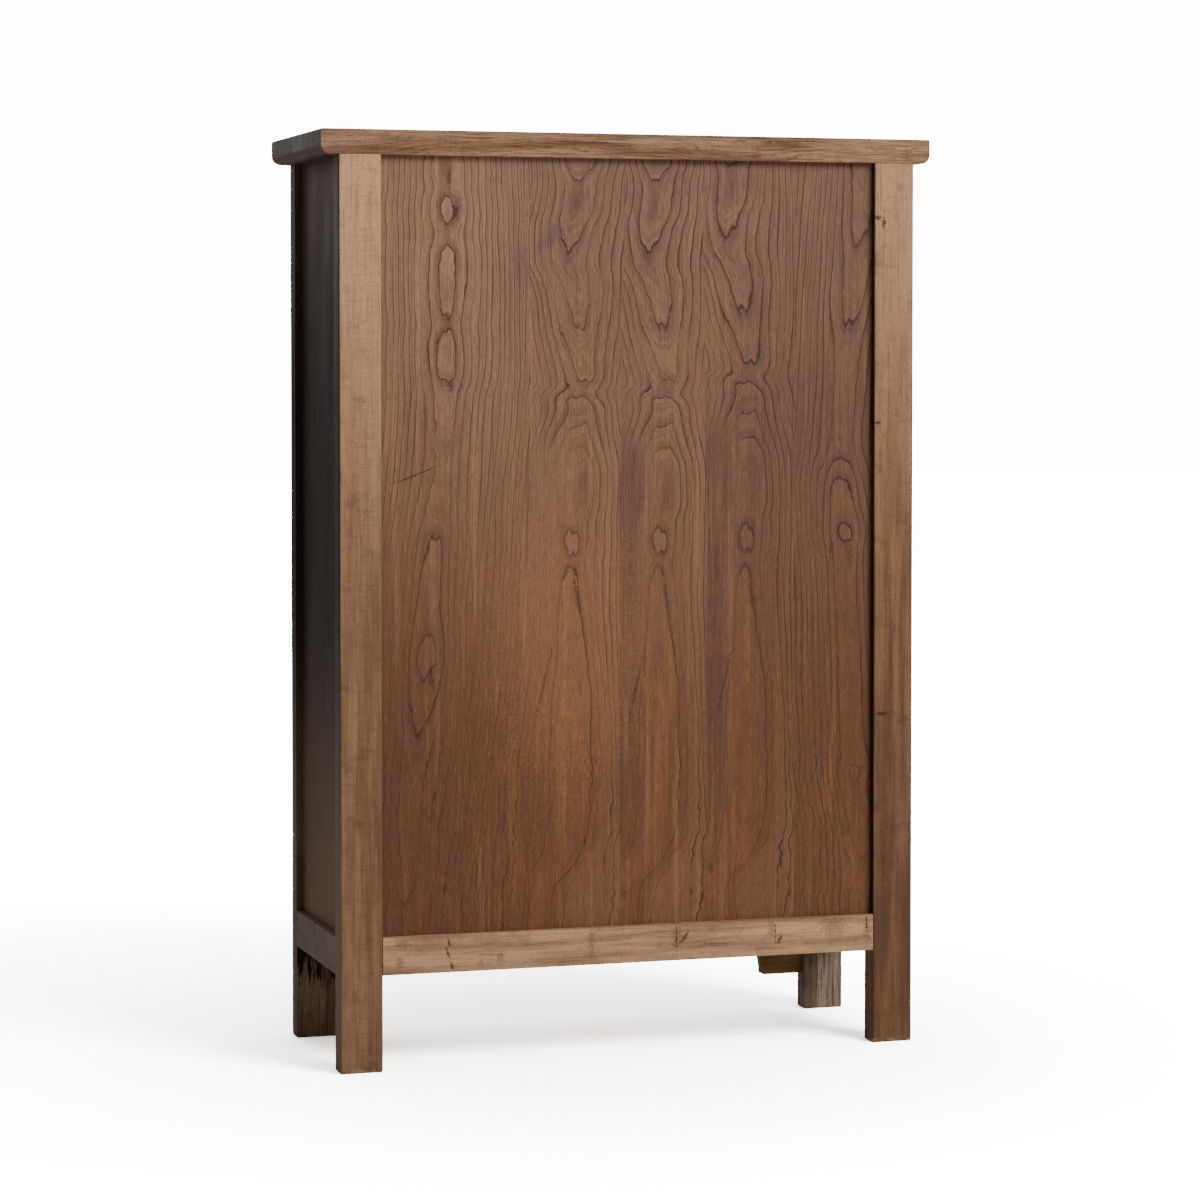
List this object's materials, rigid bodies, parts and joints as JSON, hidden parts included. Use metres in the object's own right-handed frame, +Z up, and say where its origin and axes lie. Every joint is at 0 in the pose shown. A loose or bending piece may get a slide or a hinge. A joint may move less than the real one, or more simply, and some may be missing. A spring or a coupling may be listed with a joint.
{
  "type": "cabinet",
  "caption": "Tall framed wooden cabinet with pivot-hung doors, a lift-out post between them, shelves, brass drop pulls and a framed back of one wide veneered panel.",
  "frame": {"origin": "on the floor, under the middle of the top", "axes": "+Z up, the doors face -Y, the veneered back faces +Y, +X to the right of a person facing the doors"},
  "size_m": [1.1, 0.4, 1.6],
  "materials": {
    "elm_veneer": "satin varnish over figured veneer",
    "bare_frame_wood": "planed, thinly oiled",
    "black_lacquer": "worn satin black lacquer",
    "inside_wood": "unfinished softwood",
    "brass": "aged, rubbed"
  },
  "bodies": {
    "carcass": {"apron_front": "black_lacquer", "back_panel": "elm_veneer", "bottom_rail_back": "bare_frame_wood", "bottom_rail_front": "black_lacquer", "bottom_rail_left": "black_lacquer", "bottom_rail_right": "black_lacquer", "floor_board_left": "inside_wood", "floor_board_middle": "inside_wood", "floor_board_right": "inside_wood", "leg_back_left": "bare_frame_wood", "leg_back_right": "bare_frame_wood", "leg_front_left": "black_lacquer", "leg_front_right": "black_lacquer", "lower_brace_left": "inside_wood", "lower_brace_right": "inside_wood", "lower_shelf_board_left": "inside_wood", "lower_shelf_board_right": "inside_wood", "lower_shelf_rail_back": "inside_wood", "lower_shelf_rail_front": "inside_wood", "side_panel_left": "black_lacquer", "side_panel_right": "black_lacquer", "spandrel_left": "black_lacquer", "spandrel_right": "black_lacquer", "top_batten_1": "inside_wood", "top_batten_2": "inside_wood", "top_panel": "black_lacquer", "top_rail_back": "bare_frame_wood", "top_rail_front": "black_lacquer", "top_rail_left": "black_lacquer", "top_rail_right": "black_lacquer", "upper_brace_left": "inside_wood", "upper_brace_right": "inside_wood", "upper_shelf_board_left": "inside_wood", "upper_shelf_board_right": "inside_wood", "upper_shelf_rail_back": "inside_wood", "upper_shelf_rail_front": "inside_wood"},
    "left_door": {"door_left_bottom_rail": "black_lacquer", "door_left_inner_stile": "black_lacquer", "door_left_lower_panel": "black_lacquer", "door_left_middle_rail": "black_lacquer", "door_left_outer_stile": "black_lacquer", "door_left_top_rail": "black_lacquer", "door_left_upper_panel": "black_lacquer", "door_pins_left": "brass", "face_plate_left": "brass"},
    "right_door": {"door_pins_right": "brass", "door_right_bottom_rail": "black_lacquer", "door_right_inner_stile": "black_lacquer", "door_right_lower_panel": "black_lacquer", "door_right_middle_rail": "black_lacquer", "door_right_outer_stile": "black_lacquer", "door_right_top_rail": "black_lacquer", "door_right_upper_panel": "black_lacquer", "face_plate_right": "brass"},
    "post": {"centre_post": "black_lacquer", "face_plate_centre": "brass", "post_pin": "brass", "post_stop_strip": "inside_wood"},
    "left_pull": {"pull_left": "brass"},
    "right_pull": {"pull_right": "brass"}
  },
  "joints": [
    {"name": "right_door_swing", "type": "hinge", "parent": "carcass", "child": "right_door", "pos_m": [0.4335, -0.175, 0.9], "axis": [0, 0, 1], "range_deg": [0, 95]},
    {"name": "left_door_swing", "type": "hinge", "parent": "carcass", "child": "left_door", "pos_m": [-0.4335, -0.175, 0.9], "axis": [0, 0, -1], "range_deg": [0, 95]},
    {"name": "post_lift", "type": "slide", "parent": "carcass", "child": "post", "axis": [0, 0, 1], "range_m": [0, 0.01]},
    {"name": "right_pull_swing", "type": "hinge", "parent": "right_door", "child": "right_pull", "pos_m": [0.06, -0.1929, 0.905], "axis": [-1, 0, 0], "range_deg": [0, 170]},
    {"name": "left_pull_swing", "type": "hinge", "parent": "left_door", "child": "left_pull", "pos_m": [-0.06, -0.1929, 0.905], "axis": [-1, 0, 0], "range_deg": [0, 170]}
  ]
}
